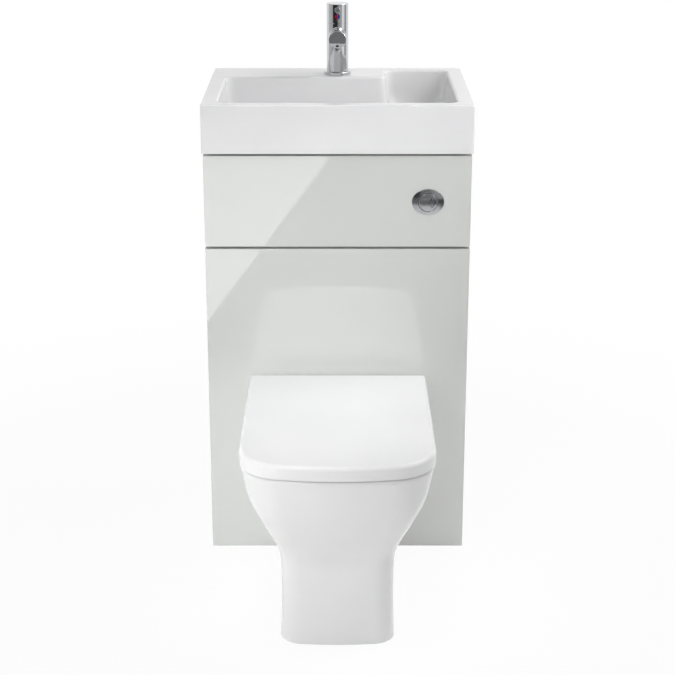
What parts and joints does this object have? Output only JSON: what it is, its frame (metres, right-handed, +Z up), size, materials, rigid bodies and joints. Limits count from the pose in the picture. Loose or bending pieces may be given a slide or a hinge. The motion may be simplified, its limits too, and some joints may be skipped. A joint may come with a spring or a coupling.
{
  "type": "combined toilet and basin",
  "caption": "Back-to-wall toilet joined to a slim unit that hides the cistern, with a shallow basin, mixer tap and push flush on top.",
  "frame": {"origin": "on the floor, midway across the width and midway between the wall and the front of the lid", "axes": "+Z up, +Y towards the wall behind, the front of the pan faces -Y, +X to the right as seen from the front"},
  "size_m": [0.5, 0.85, 1.0316],
  "materials": {
    "china": "glossy white glaze",
    "basin_china": "glossy white glaze",
    "front_gloss": "board with a pale grey high-gloss face",
    "carcass_board": "pale grey melamine-faced board",
    "tap_chrome": "polished chrome",
    "waste_chrome": "polished chrome",
    "button_chrome": "polished chrome",
    "hinge_chrome": "polished chrome",
    "steel": "zinc-plated",
    "cartridge_chrome": "chrome-plated",
    "copper": "plain copper",
    "white_plastic": "moulded white plastic",
    "seat_plastic": "glossy white thermoset",
    "rubber": "black rubber",
    "buffer_rubber": "pale grey rubber",
    "hot_red": "red enamel",
    "cold_blue": "blue enamel"
  },
  "bodies": {
    "unit": {"basin": "basin_china", "button_backnut": "white_plastic", "button_housing": "white_plastic", "carcass_screws": "steel", "cartridge_nut": "cartridge_chrome", "cistern_backnuts": "white_plastic", "cistern_lid": "white_plastic", "cistern_screws": "steel", "cistern_shelf": "carcass_board", "cistern_tank": "white_plastic", "connector_seal": "rubber", "fill_valve": "white_plastic", "flush_bezel": "button_chrome", "flush_cone": "rubber", "flush_pipe": "white_plastic", "flush_valve": "white_plastic", "front_rails": "carcass_board", "hinge_nuts": "white_plastic", "hinge_pins": "steel", "hinge_posts": "hinge_chrome", "lower_front_panel": "front_gloss", "pan": "china", "pan_brackets": "steel", "pan_connector": "white_plastic", "pan_screw_caps": "white_plastic", "pan_side_screws": "steel", "panel_pegs": "white_plastic", "rear_rails": "carcass_board", "side_panel_left": "carcass_board", "side_panel_right": "carcass_board", "tap_aerator": "tap_chrome", "tap_base_ring": "tap_chrome", "tap_body": "tap_chrome", "tap_cartridge": "white_plastic", "tap_fixings": "steel", "tap_gasket": "rubber", "tap_tails": "copper", "trap_body": "white_plastic", "trap_cup": "white_plastic", "upper_front_panel": "front_gloss", "wall_brackets": "steel", "waste_body": "waste_chrome", "waste_nuts": "white_plastic", "waste_seals": "rubber"},
    "seat": {"seat_ring": "seat_plastic", "seat_buffers": "buffer_rubber"},
    "lid": {"seat_lid": "seat_plastic", "lid_buffers": "buffer_rubber"},
    "tap_stem": {"cartridge_stem": "cartridge_chrome", "lever_pivot_pin": "steel"},
    "tap_handle": {"tap_head": "tap_chrome", "tap_lever": "tap_chrome", "hot_marker": "hot_red", "cold_marker": "cold_blue"},
    "plug": {"waste_plug": "waste_chrome"},
    "full_button": {"full_flush_button": "button_chrome"},
    "half_button": {"half_flush_button": "button_chrome"},
    "valve_plunger": {"flush_plunger": "white_plastic", "plunger_seal": "rubber"},
    "float": {"fill_float": "white_plastic"}
  },
  "joints": [
    {"name": "seat_hinge", "type": "hinge", "parent": "unit", "child": "seat", "pos_m": [0, -0.0125, 0.3755], "axis": [1, 0, 0], "range_deg": [-95, 0]},
    {"name": "lid_hinge", "type": "hinge", "parent": "seat", "child": "lid", "pos_m": [0, -0.0125, 0.3755], "axis": [-1, 0, 0], "range_deg": [0, 95]},
    {"name": "tap_swivel", "type": "hinge", "parent": "unit", "child": "tap_stem", "pos_m": [0, 0.359, 1.007], "axis": [0, 0, 1], "range_deg": [-50, 50]},
    {"name": "tap_lift", "type": "hinge", "parent": "tap_stem", "child": "tap_handle", "pos_m": [0, 0.359, 1.007], "axis": [-1, 0, 0], "range_deg": [0, 18]},
    {"name": "plug_rise", "type": "slide", "parent": "unit", "child": "plug", "axis": [0, 0, 1], "range_m": [0, 0.008]},
    {"name": "full_flush_press", "type": "slide", "parent": "unit", "child": "full_button", "axis": [0, 1, 0], "range_m": [0, 0.005], "stiffness_N_per_m": 600, "springref_m": -0.002},
    {"name": "half_flush_press", "type": "slide", "parent": "unit", "child": "half_button", "axis": [0, 1, 0], "range_m": [0, 0.005], "stiffness_N_per_m": 300, "springref_m": -0.002},
    {"name": "flush_valve_lift", "type": "slide", "parent": "unit", "child": "valve_plunger", "axis": [0, 0, 1], "range_m": [0, 0.0125]},
    {"name": "float_rise", "type": "slide", "parent": "unit", "child": "float", "axis": [0, 0, 1], "range_m": [0, 0.018]}
  ],
  "couplings": [
    {"joint": "flush_valve_lift", "follows": "full_flush_press", "ratio": 2.5}
  ]
}
